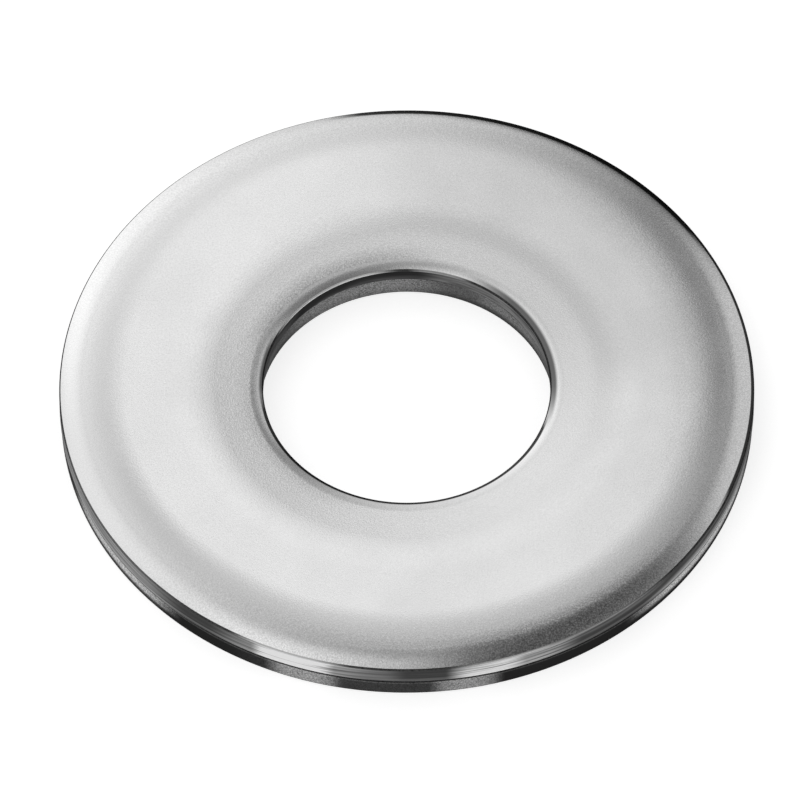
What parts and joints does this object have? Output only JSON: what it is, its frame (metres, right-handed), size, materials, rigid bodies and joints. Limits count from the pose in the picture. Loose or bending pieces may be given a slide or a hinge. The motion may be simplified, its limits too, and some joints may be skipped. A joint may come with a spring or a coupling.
{
  "type": "flat washer",
  "caption": "Flat round metal washer with a softly crowned top face and sheared edges, which spreads a bolt's load.",
  "frame": {"origin": "on the washer's axis, in the plane of its flat underside", "axes": "+Z along the axis, from the underside towards the crowned top face; X and Y across the ring"},
  "size_m": [0.0254, 0.0254, 0.0019],
  "materials": {
    "satin_stainless": "satin, tumbled after stamping; smooth sheared lands over duller torn bands on the edges"
  },
  "bodies": {
    "root": {"washer": "satin_stainless"}
  },
  "joints": []
}
